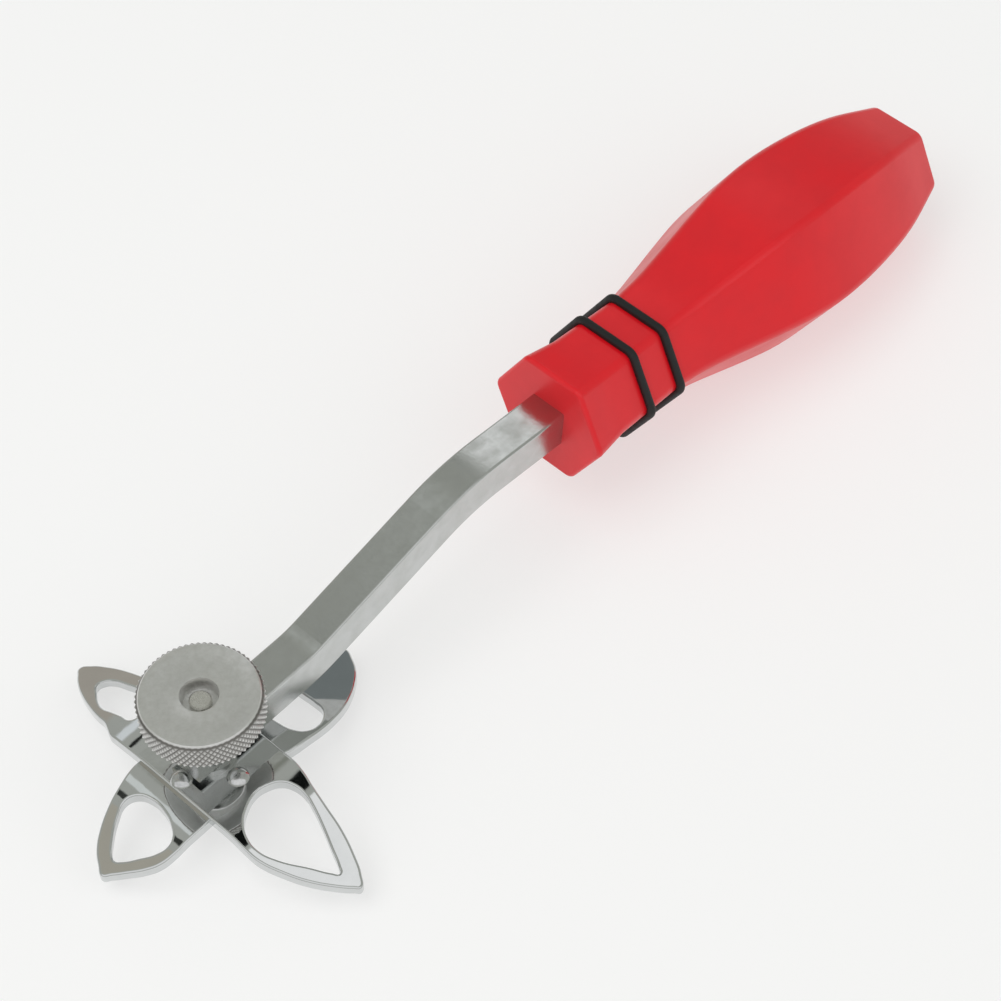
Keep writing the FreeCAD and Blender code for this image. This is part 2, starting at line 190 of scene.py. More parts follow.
@dataclass(frozen=True)
class Finish:
    """A surface with a base colour, a fine cloudy variation and a fine relief.

    Each colour is sRGB hex, each size is in millimetres and shares are from 0 to 1.
    """

    name: str
    colour: str
    cloud_colour: str
    metallic: float
    roughness: float
    cloud_roughness: float
    cloud_mm: float
    grain_mm: float
    relief_mm: float

    def relief_height(self, tree: bpy.types.NodeTree, place: bpy.types.NodeSocket) -> bpy.types.NodeSocket:
        """Height of the relief, which a kind of finish may replace with its own."""
        grain = add_node(
            tree,
            "ShaderNodeTexNoise",
            inputs={"Vector": place, "Scale": per_metre(self.grain_mm), "Detail": 3.0, "Roughness": 0.55},
        )
        return grain.outputs["Fac"]

    def shaded(
        self, tree: bpy.types.NodeTree, place: bpy.types.NodeSocket, colour: bpy.types.NodeSocket
    ) -> bpy.types.NodeSocket:
        """Colour with any painted shade of its own, which a kind of finish may add."""
        return colour

    def make(self) -> bpy.types.Material:
        """Build the material and return it."""
        material = bpy.data.materials.new(self.name)
        material.use_nodes = True
        tree = material.node_tree
        shader = tree.nodes["Principled BSDF"]
        place = add_node(tree, "ShaderNodeTexCoord").outputs["Object"]
        cloud = add_node(
            tree,
            "ShaderNodeTexNoise",
            inputs={"Vector": place, "Scale": per_metre(self.cloud_mm), "Detail": 4.0, "Roughness": 0.6},
        ).outputs["Fac"]
        share = add_node(
            tree,
            "ShaderNodeMapRange",
            inputs={"Value": cloud, "From Min": 0.35, "From Max": 0.65},
        ).outputs["Result"]
        colour = add_node(
            tree,
            "ShaderNodeMix",
            {"data_type": "RGBA"},
            {0: share, 6: linear(self.colour), 7: linear(self.cloud_colour)},
        ).outputs[2]
        rough = add_node(
            tree,
            "ShaderNodeMapRange",
            inputs={"Value": share, "To Min": self.roughness, "To Max": self.cloud_roughness},
        ).outputs["Result"]
        bump = add_node(
            tree,
            "ShaderNodeBump",
            inputs={
                "Height": self.relief_height(tree, place),
                "Strength": 1.0,
                "Distance": self.relief_mm * MM,
            },
        ).outputs["Normal"]
        tree.links.new(self.shaded(tree, place, colour), shader.inputs["Base Color"])
        tree.links.new(rough, shader.inputs["Roughness"])
        tree.links.new(bump, shader.inputs["Normal"])
        shader.inputs["Metallic"].default_value = self.metallic
        return material


@dataclass(frozen=True)
class TurnedFinish(Finish):
    """A metal faced on a lathe, with fine rings round an upright axis, and painted shade at the radii of its
    chamfers and knurl grooves.
    """

    axis: tuple[float, float] = (0.0, 0.0)
    ring_mm: float = 0.9
    # groove is a painted shade colour for the chamfers and the knurl's grooves: it is mixed in beyond face_r
    # over face_blend, and fades out from groove_r to point_r.
    groove: str = "#7C7A77"
    face_r: float = 13.2
    face_blend: float = 0.15
    groove_r: float = 13.6
    point_r: float = 13.95

    def shaded(
        self, tree: bpy.types.NodeTree, place: bpy.types.NodeSocket, colour: bpy.types.NodeSocket
    ) -> bpy.types.NodeSocket:
        """Paint shade into the chamfers and the grooves of the knurl, between the top face's edge and the
        knurl's points, and leave its points bright.
        """
        flat = add_node(
            tree,
            "ShaderNodeVectorMath",
            {"operation": "MULTIPLY_ADD"},
            {0: place, 1: (1.0, 1.0, 0.0), 2: (-self.axis[0], -self.axis[1], 0.0)},
        ).outputs["Vector"]
        radius = add_node(tree, "ShaderNodeVectorMath", {"operation": "LENGTH"}, {0: flat}).outputs["Value"]
        beyond = add_node(
            tree,
            "ShaderNodeMapRange",
            inputs={
                "Value": radius,
                "From Min": self.face_r * MM,
                "From Max": (self.face_r + self.face_blend) * MM,
            },
        ).outputs["Result"]
        below = add_node(
            tree,
            "ShaderNodeMapRange",
            inputs={"Value": radius, "From Min": self.point_r * MM, "From Max": self.groove_r * MM},
        ).outputs["Result"]
        # Painted shade: the groove colour is mixed in at radii between the top face's edge and the knurl's
        # points.
        painted_groove_shade = {0: maths(tree, "MULTIPLY", beyond, below), 6: colour, 7: linear(self.groove)}
        return add_node(tree, "ShaderNodeMix", {"data_type": "RGBA"}, painted_groove_shade).outputs[2]

    def relief_height(self, tree: bpy.types.NodeTree, place: bpy.types.NodeSocket) -> bpy.types.NodeSocket:
        """Rings of the turning tool, uneven where the tool rubbed."""
        centred = add_node(
            tree,
            "ShaderNodeMapping",
            inputs={"Vector": place, "Location": (-self.axis[0], -self.axis[1], 0.0)},
        ).outputs["Vector"]
        return add_node(
            tree,
            "ShaderNodeTexWave",
            {"wave_type": "RINGS", "rings_direction": "Z"},
            {
                "Vector": centred,
                "Scale": per_metre(self.ring_mm) * math.tau / 20.0,
                "Distortion": 2.5,
                "Detail": 3.0,
                "Detail Scale": 1.0,
            },
        ).outputs["Fac"]


# Electroplated bright chrome over buffed steel: a near-mirror with a faint waviness from the buffing wheel.
LEAF_CHROME = Finish("bright_chrome_plate", "#D4D6D6", "#CFD1D1", 1.0, 0.035, 0.06, 9.0, 7.0, 0.02)
# Chrome over drawn square bar: softer reflections, with pits and drawing marks left under the plating.
BAR_CHROME = Finish("satin_chrome_plate", "#C8CAC9", "#C0C2C0", 1.0, 0.17, 0.26, 5.0, 0.7, 0.012)
# Bright cold-headed steel rivet: small round domes that pick up every light.
RIVET_STEEL = Finish("bright_rivet_steel", "#D2D3D3", "#BDBEBE", 1.0, 0.06, 0.12, 1.5, 1.0, 0.01)
# Turned and burnished steel stud: lighter than the nut, with a bright edge.
STUD_STEEL = Finish("turned_stud_steel", "#E2E1DC", "#D2D0CB", 1.0, 0.22, 0.32, 1.2, 0.4, 0.01)
# Zinc-plated washer: pale and a little dull.
WASHER_STEEL = Finish("zinc_washer", "#C6C8C6", "#B7B9B6", 1.0, 0.25, 0.34, 2.0, 0.6, 0.01)
# Moulded glossy acetate: a saturated red with faint flow clouds under the gloss.
GRIP_RED = Finish("moulded_red_acetate", "#E4101E", "#DC101E", 0.0, 0.30, 0.38, 14.0, 1.6, 0.01)
# Nitrile rubber: matt black with a fine bloom.
RING_RUBBER = Finish("nitrile_rubber", "#0E0E0F", "#161617", 0.0, 0.55, 0.68, 1.4, 0.35, 0.02)


# ---------------------------------------------------------------- where things are


@dataclass(frozen=True)
class Datum:
    """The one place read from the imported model, in metres."""

    axis: Vector

    @classmethod
    def read(cls) -> "Datum":
        """Read the turning axis at the top of the upper strip."""
        nut_low, nut_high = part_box("thumb_nut")
        strip_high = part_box("upper_leaf_strip")[1]
        middle = (nut_low + nut_high) / 2.0
        return cls(Vector((middle.x, middle.y, strip_high.z)))


# ---------------------------------------------------------------- the star


@dataclass(frozen=True)
class Leaf:
    """One pierced leaf, drawn outwards along +X with +Y to its left, in millimetres and degrees.

    left and right are points along its edges from the hub outwards, tip is its end and hole is a loop.
    Each point is a distance from the turning axis and a share of the strip's half width.
    """

    droop: float
    bend_at: float
    bend_r: float
    tip: tuple[float, float]
    left: tuple[tuple[float, float], ...]
    right: tuple[tuple[float, float], ...]
    hole: tuple[tuple[float, float], ...]
    shoulder: float = 11.9
    strip_half: float = 11.3

    def place(self, point: tuple[float, float]) -> Vector:
        """Plan point in millimetres."""
        return Vector((point[0], point[1] * self.strip_half, 0.0))

    def edge(self) -> list[Vector]:
        """Points round the leaf from its right shoulder over the tip to its left shoulder."""
        stations = [(self.shoulder, -1.0), *self.right, self.tip, *reversed(self.left), (self.shoulder, 1.0)]
        return [self.place(point) for point in stations]

    def opening(self) -> list[Vector]:
        """Points round the leaf's hole."""
        return [self.place(point) for point in self.hole]

    def bend_start(self) -> float:
        """Distance from the turning axis where the bend begins."""
        return self.bend_at - self.bend_r * math.tan(math.radians(self.droop) / 2.0)

    def drop(self, distance: float, offset: float) -> float:
        """Height of a surface this far above the bent middle layer, less its height at the hub."""
        radius = self.bend_r + offset
        run = distance - self.bend_start()
        arc = radius * math.sin(math.radians(self.droop))
        if run <= 0.0:
            return 0.0
        fall = math.sqrt(radius**2 - min(run, arc) ** 2) - radius
        return fall - max(0.0, run - arc) * math.tan(math.radians(self.droop))


@dataclass
class LeafStrip:
    """One bent strip of the star with a leaf at each end, remade with rolled rims."""

    name: str
    node: str
    ahead: Leaf
    behind: Leaf
    turn: float
    top: float
    thickness: float = 3.2
    rim: float = 0.54
    land: float = 0.1
    rim_steps: int = 5
    merge: float = 0.04
    flatness: float = 0.001
    thinning: float = 0.25
    journal_r: float = 3.65
    rivet_r: float = 1.2
    rivet_circle: float = 8.7
    bend_steps: int = 24

    def plan(self) -> bmesh.types.BMesh:
        """Flat sheet with its holes, from one set of smooth closed loops."""
        curve = bpy.data.curves.new(self.name, "CURVE")
        curve.dimensions = "2D"
        curve.fill_mode = "NONE"
        half_turn = Matrix.Rotation(math.pi, 4, "Z")
        behind = [half_turn @ p for p in self.behind.edge()]
        self.loop(curve, self.ahead.edge() + behind)
        self.loop(curve, self.ahead.opening())
        self.loop(curve, [half_turn @ p for p in self.behind.opening()])
        self.loop(curve, self.circle(Vector(), self.journal_r))
        for quarter in range(4):
            spot = Matrix.Rotation(quarter * math.pi / 2.0, 4, "Z") @ Vector((self.rivet_circle, 0.0, 0.0))
            self.loop(curve, self.circle(spot, self.rivet_r))
        carrier = bpy.data.objects.new(self.name, curve)
        bpy.context.scene.collection.objects.link(carrier)
        mesh = bpy.data.meshes.new_from_object(carrier.evaluated_get(bpy.context.evaluated_depsgraph_get()))
        bpy.data.objects.remove(carrier)
        bm = bmesh.new()
        bm.from_mesh(mesh)
        bpy.data.meshes.remove(mesh)
        bmesh.ops.remove_doubles(bm, verts=bm.verts, dist=self.merge)
        bmesh.ops.triangle_fill(bm, use_beauty=True, use_dissolve=False, edges=bm.edges)
        return bm

    def thicken(self, bm: bmesh.types.BMesh) -> None:
        """Give the sheet its thickness and roll the rims of both faces."""
        core = self.thickness - 2.0 * self.rim
        bmesh.ops.translate(bm, vec=(0.0, 0.0, -core / 2.0), verts=bm.verts)
        raised = bmesh.ops.extrude_face_region(bm, geom=bm.faces[:], use_keep_orig=True)["geom"]
        top = [v for v in raised if isinstance(v, bmesh.types.BMVert)]
        bmesh.ops.translate(bm, vec=(0.0, 0.0, core), verts=top)
        bmesh.ops.recalc_face_normals(bm, faces=bm.faces)
        for upward in (1.0, -1.0):
            for step in range(self.rim_steps):
                here = 0.5 * math.pi * step / self.rim_steps
                following = 0.5 * math.pi * (step + 1) / self.rim_steps
                level = upward * (core / 2.0 + self.rim * math.sin(here))
                bmesh.ops.inset_region(
                    bm,
                    faces=self.level_faces(bm, level),
                    thickness=self.rim * (math.cos(here) - math.cos(following)),
                    depth=self.rim * (math.sin(following) - math.sin(here)),
                    use_even_offset=True,
                    use_boundary=True,
                )
                bmesh.ops.remove_doubles(bm, verts=bm.verts, dist=self.merge)
            bmesh.ops.inset_region(
                bm,
                faces=self.level_faces(bm, upward * self.thickness / 2.0),
                thickness=self.land,
                use_even_offset=True,
                use_boundary=True,
            )

    def level_faces(self, bm: bmesh.types.BMesh, level: float) -> list[bmesh.types.BMFace]:
        """Faces that lie at this height of the flat sheet."""
        return [f for f in bm.faces if all(abs(v.co.z - level) < self.flatness for v in f.verts)]

    def loop(self, curve: bpy.types.Curve, points: list[Vector]) -> None:
        """Add one smooth closed loop through points to a curve."""
        spline = curve.splines.new("BEZIER")
        spline.bezier_points.add(len(points) - 1)
        for knot, point in zip(spline.bezier_points, points):
            knot.co = point
            knot.handle_left_type = "AUTO"
            knot.handle_right_type = "AUTO"
        spline.use_cyclic_u = True
        spline.resolution_u = 10

    def circle(self, centre: Vector, radius: float) -> list[Vector]:
        """Eight points clockwise round a bore."""
        turns = [Matrix.Rotation(-k * math.pi / 4.0, 4, "Z") for k in range(8)]
        return [centre + turn @ Vector((radius, 0.0, 0.0)) for turn in turns]

    def build(self, datum: Datum) -> bpy.types.Object:
        """Make the strip's piece.

        Args:
            datum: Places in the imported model.

        Returns:
            The piece, riding on the star.
        """
        bm = self.plan()
        self.thicken(bm)
        half = self.thickness / 2.0
        for side, leaf in ((1.0, self.ahead), (-1.0, self.behind)):
            start = leaf.bend_start()
            arc = (leaf.bend_r + half) * math.sin(math.radians(leaf.droop))
            for step in range(self.bend_steps + 1):
                self.cut(bm, side * (start + arc * step / self.bend_steps))
        for vertex in bm.verts:
            leaf = self.ahead if vertex.co.x > 0.0 else self.behind
            distance = abs(vertex.co.x)
            along = max(0.0, (distance - leaf.shoulder) / (leaf.tip[0] - leaf.shoulder))
            share = (vertex.co.z + half) / self.thickness
            upper = half + leaf.drop(distance, half)
            depth = self.thickness * (1.0 - self.thinning * min(1.0, along))
            lower = half + leaf.drop(distance, -half) - depth
            vertex.co.z = lower + (upper - lower) * share
        move = (
            Matrix.Translation(datum.axis)
            @ Matrix.Scale(MM, 4)
            @ Matrix.Translation((0.0, 0.0, self.top))
            @ Matrix.Rotation(math.radians(self.turn), 4, "Z")
        )
        bmesh.ops.transform(bm, matrix=move, verts=bm.verts)
        piece = object_from(bm, self.name, 55.0)
        even_normals(piece)
        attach(piece, Body.STAR.value)
        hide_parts(self.node)
        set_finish(piece, "leaf_chrome")
        return piece

    def cut(self, bm: bmesh.types.BMesh, along: float) -> None:
        """Score the strip across its width so that it can bend there."""
        geometry = [*bm.verts, *bm.edges, *bm.faces]
        bmesh.ops.bisect_plane(bm, geom=geometry, plane_co=(along, 0.0, 0.0), plane_no=(1.0, 0.0, 0.0))


LEFT_LEAF = Leaf(
    droop=20.5, bend_at=19.5, bend_r=44.0, tip=(43.5, 0.09),
    left=((18.5, 1.0), (20.6, 0.99), (22.4, 0.92), (24.4, 0.845), (27.3, 0.81), (31.4, 0.725),
          (36.0, 0.585), (39.2, 0.445), (42.0, 0.26)),
    right=((16.0, -1.0), (18.8, -0.94), (21.2, -0.74), (24.0, -0.54), (27.5, -0.45), (30.9, -0.40),
           (34.0, -0.345), (37.8, -0.24), (41.3, -0.10)),
    hole=((19.4, 0.30), (20.3, 0.50), (22.8, 0.53), (25.3, 0.565), (28.3, 0.60), (30.9, 0.525),
          (33.1, 0.39), (35.1, 0.22), (34.5, 0.07), (32.6, -0.04), (29.5, -0.10), (25.0, -0.14),
          (21.2, -0.07), (19.6, 0.10)))
RIGHT_LEAF = Leaf(
    droop=15.5, bend_at=19.0, bend_r=50.0, tip=(44.7, 0.10),
    left=((15.0, 1.0), (18.5, 0.95), (22.0, 0.865), (27.0, 0.77), (33.0, 0.655), (39.0, 0.46),
          (42.5, 0.30)),
    right=((18.0, -1.0), (22.5, -1.01), (26.0, -0.985), (31.5, -0.80), (36.2, -0.575), (41.4, -0.22),
           (43.6, -0.03)),
    hole=((14.4, 0.0), (14.9, 0.25), (16.4, 0.48), (19.0, 0.60), (22.0, 0.62), (25.0, 0.555),
          (29.2, 0.42), (34.4, 0.22), (38.2, 0.07), (39.3, 0.0), (38.2, -0.10), (34.5, -0.32),
          (28.5, -0.68), (24.3, -0.82), (20.7, -0.78), (17.8, -0.62), (15.6, -0.35)))
FRONT_LEAF = Leaf(
    droop=19.3, bend_at=17.3, bend_r=34.0, tip=(34.4, 0.08),
    left=((14.0, 1.0), (17.5, 0.985), (21.3, 0.97), (24.9, 0.89), (27.9, 0.71), (30.7, 0.46),
          (32.9, 0.25)),
    right=((12.6, -1.0), (14.5, -0.98), (17.8, -0.91), (22.7, -0.785), (27.9, -0.575), (31.1, -0.365),
           (33.2, -0.12)),
    hole=((15.9, -0.18), (16.2, 0.22), (17.6, 0.52), (19.3, 0.69), (21.3, 0.74), (23.6, 0.67),
          (26.7, 0.45), (29.4, 0.22), (30.3, 0.08), (29.8, -0.03), (27.6, -0.22), (23.0, -0.48),
          (19.9, -0.575), (17.3, -0.47)))
REAR_LEAF = Leaf(
    droop=18.3, bend_at=18.5, bend_r=40.0, tip=(44.0, 0.27),
    left=((14.0, 1.03), (18.0, 1.06), (23.0, 1.06), (29.0, 1.0), (35.0, 0.87), (39.5, 0.68),
          (42.6, 0.48)),
    right=((13.0, -1.03), (18.0, -1.07), (22.8, -1.07), (26.7, -1.015), (30.6, -0.92), (34.5, -0.76),
           (38.0, -0.555), (40.8, -0.33), (42.8, -0.05)),
    hole=((16.3, 0.0), (16.5, -0.35), (17.6, -0.70), (19.6, -0.89), (22.3, -0.93), (24.8, -0.84),
          (26.3, -0.68), (26.5, -0.45), (26.2, -0.10), (25.8, 0.30), (24.5, 0.58), (21.6, 0.74),
          (18.6, 0.64), (16.9, 0.35)))
STRIPS = (
    LeafStrip("upper_leaves", "upper_leaf_strip", LEFT_LEAF, RIGHT_LEAF, turn=90.0, top=-1.6),
    LeafStrip("lower_leaves", "lower_leaf_strip", REAR_LEAF, FRONT_LEAF, turn=0.0, top=-3.3),
)


# ---------------------------------------------------------------- the thumb nut


@dataclass
class ThumbNut:
    """Knurled thumb nut with a collar below and a counterbore above, in millimetres from the strips' top."""

    name: str = "knurled_nut"
    bore_r: float = 2.5
    collar_r: float = 6.5
    collar_low: float = 12.8
    head_low: float = 16.6
    head_high: float = 23.8
    head_r: float = 14.0
    top_chamfer: float = 0.9
    low_chamfer: float = 0.5
    counterbore_r: float = 4.0
    counterbore_flare: float = 0.25
    counterbore_depth: float = 4.0
    diamonds: int = 64
    rows: int = 6
    knurl_depth: float = 0.42
    ease: float = 0.22
    weld: float = 0.001
    tolerance: float = 0.01
    top_turns: tuple[tuple[float, float], ...] = ((0.0, 0.8), (0.1, 0.25))
    mouth_turn: tuple[float, float] = (0.06, 0.3)

    def profile(self) -> list[tuple[float, float]]:
        """Radius and height round half the nut's section, starting at the foot of the bore.

        top_turns and mouth_turn round its edges: each is a step sideways, and a share of ease down.
        """
        band_low = self.head_low + self.low_chamfer
        band_high = self.head_high - self.top_chamfer
        groove = self.head_r - self.knurl_depth
        band = [(groove, band_low + (band_high - band_low) * k / self.rows) for k in range(self.rows + 1)]
        seat = self.head_high - self.counterbore_depth
        rim_r = self.head_r - self.top_chamfer
        mouth_r = self.counterbore_r + self.counterbore_flare
        turned = [(rim_r - step, self.head_high - self.ease * share) for step, share in self.top_turns]
        return [
            (self.bore_r, self.collar_low),
            (self.collar_r - self.ease, self.collar_low),
            (self.collar_r, self.collar_low + self.ease),
            (self.collar_r, self.head_low),
            (self.head_r - self.knurl_depth - self.low_chamfer, self.head_low),
            *band,
            *turned,
            (rim_r - self.ease, self.head_high),
            (mouth_r + self.ease, self.head_high),
            (mouth_r + self.mouth_turn[0], self.head_high - self.ease * self.mouth_turn[1]),
            (mouth_r, self.head_high - self.ease),
            (self.counterbore_r, seat),
            (self.bore_r, seat),
        ]

    def build(self, datum: Datum) -> bpy.types.Object:
        """Turn the section, raise the knurl and return the nut's piece."""
        bm = bmesh.new()
        points = [bm.verts.new((radius, 0.0, height)) for radius, height in self.profile()]
        for here, following in zip(points, points[1:] + points[:1]):
            bm.edges.new((here, following))
        bmesh.ops.spin(
            bm,
            geom=[*bm.verts, *bm.edges],
            cent=(0.0, 0.0, 0.0),
            axis=UP,
            angle=math.tau,
            steps=self.diamonds * 2,
            use_merge=True,
        )
        bmesh.ops.remove_doubles(bm, verts=bm.verts, dist=self.weld)
        self.raise_knurl(bm)
        move = Matrix.Translation(datum.axis) @ Matrix.Scale(MM, 4)
        bmesh.ops.transform(bm, matrix=move, verts=bm.verts)
        piece = object_from(bm, self.name, 28.0)
        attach(piece, Body.NUT.value)
        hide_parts("thumb_nut")
        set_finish(piece, "nut_nickel")
        return piece

    def raise_knurl(self, bm: bmesh.types.BMesh) -> None:
        """Lift every other vertex of the band into a point, and crease the grooves between the points."""
        band_low = self.head_low + self.low_chamfer
        pitch = (self.head_high - self.top_chamfer - band_low) / self.rows
        grooves = []
        for vertex in bm.verts:
            radius = math.hypot(vertex.co.x, vertex.co.y)
            row = (vertex.co.z - band_low) / pitch
            off_band = abs(radius - (self.head_r - self.knurl_depth)) > self.tolerance
            if off_band or abs(row - round(row)) > self.tolerance:
                continue
            column = round(math.atan2(vertex.co.y, vertex.co.x) / math.tau * self.diamonds * 2)
            if (column + round(row)) % 2:
                growth = self.head_r / radius
                bmesh.ops.scale(bm, vec=(growth, growth, 1.0), verts=[vertex])
            else:
                grooves.append(vertex)
        bmesh.ops.connect_verts(bm, verts=grooves)


# ---------------------------------------------------------------- the arm


@dataclass
class Grip:
    """Six-sided moulded grip along the arm, in millimetres from its front face."""

    name: str = "red_grip"
    start: tuple[float, float, float] = (109.274, 0.0, 15.561)
    along: tuple[float, float, float] = (0.994151, 0.0, -0.107999)
    length: float = 130.4
    lip_r: float = 16.8
    lip_len: float = 10.2
    neck_front_r: float = 15.25
    neck_middle: float = 20.0
    neck_end: float = 30.0
    neck_end_r: float = 14.75
    swell_r: float = 23.7
    butt_r: float = 14.5
    corner: float = 1.5
    rim: float = 1.2
    swell_steps: int = 30
    swell: tuple[tuple[float, float], ...] = (
        (0.0, 0.0), (0.1, 0.13), (0.2, 0.375), (0.3, 0.64), (0.42, 0.91), (0.54, 1.0),
        (0.69, 0.885), (0.835, 0.59), (1.0, 0.0),
    )

    def sections(self) -> list[tuple[float, float]]:
        """Distance and corner radius of each section from the front face to the butt."""
        front = [(0.0, self.lip_r), (self.lip_len * 0.5, (self.lip_r + self.neck_front_r) / 2.0)]
        middle_r = (self.neck_front_r + self.neck_end_r) / 2.0
        neck = [(self.lip_len, self.neck_front_r), (self.neck_middle, middle_r)]
        growth = self.swell_r - (self.neck_end_r + self.butt_r) / 2.0
        body = []
        for step in range(self.swell_steps + 1):
            share = step / self.swell_steps
            radius = self.neck_end_r + (self.butt_r - self.neck_end_r) * share
            place = self.neck_end + share * (self.length - self.neck_end)
            body.append((place, radius + growth * through(self.swell, share)))
        return [*front, *neck, *body]

    def build(self, datum: Datum) -> bpy.types.Object:
        """Pull the hexagon through its sections, ease its edges and return the grip's piece."""
        bm = bmesh.new()
        sections = self.sections()
        bmesh.ops.create_circle(bm, cap_ends=True, segments=6, radius=sections[0][1])
        edges = bm.edges[:]
        place, radius = sections[0]
        for distance, following in sections[1:]:
            made = bmesh.ops.extrude_edge_only(bm, edges=edges)["geom"]
            ring = [v for v in made if isinstance(v, bmesh.types.BMVert)]
            edges = [e for e in made if isinstance(e, bmesh.types.BMEdge)]
            growth = following / radius
            bmesh.ops.scale(bm, vec=(growth, growth, 1.0), verts=ring)
            bmesh.ops.translate(bm, vec=(0.0, 0.0, distance - place), verts=ring)
            place, radius = distance, following
        bmesh.ops.contextual_create(bm, geom=edges)
        bmesh.ops.recalc_face_normals(bm, faces=bm.faces)
        for chosen, offset in ((self.runs_along, self.corner), (self.at_end, self.rim)):
            edges = [e for e in bm.edges if chosen(e)]
            bmesh.ops.bevel(
                bm, geom=edges, offset=offset, segments=4, profile=0.5, affect="EDGES", material=-1
            )
        direction = Vector(self.along)
        up = Vector((-direction.z, 0.0, direction.x))
        across = up.cross(direction)
        turn = Matrix((across, up, direction)).transposed().to_4x4() @ Matrix.Rotation(math.pi / 2.0, 4, "Z")
        move = (
            Matrix.Translation(datum.axis)
            @ Matrix.Scale(MM, 4)
            @ Matrix.Translation(self.start)
            @ turn
        )
        bmesh.ops.transform(bm, matrix=move, verts=bm.verts)
        piece = object_from(bm, self.name, 45.0)
        even_normals(piece)
        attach(piece, Body.ARM.value)
        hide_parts("handle_grip")
        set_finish(piece, "grip_red")
        return piece

    def runs_along(self, edge: bmesh.types.BMEdge) -> bool:
        """True for an edge between two sections."""
        return abs(edge.verts[0].co.z - edge.verts[1].co.z) > 0.5

    def at_end(self, edge: bmesh.types.BMEdge) -> bool:
        """True for an edge round the front face or the butt."""
        ends = [v.co.z for v in edge.verts]
        level = abs(ends[0] - ends[1]) < 0.01
        return level and (abs(ends[0]) < 0.01 or abs(ends[0] - self.length) < 0.01)


# ---------------------------------------------------------------- the studio


@dataclass(frozen=True)
class Card:
    """A soft-edged rectangle of the studio round the object, by direction, in degrees."""

    azimuth: float
    elevation: float
    half_width: float
    half_height: float
    colour: str
    gain: float
    soft: float


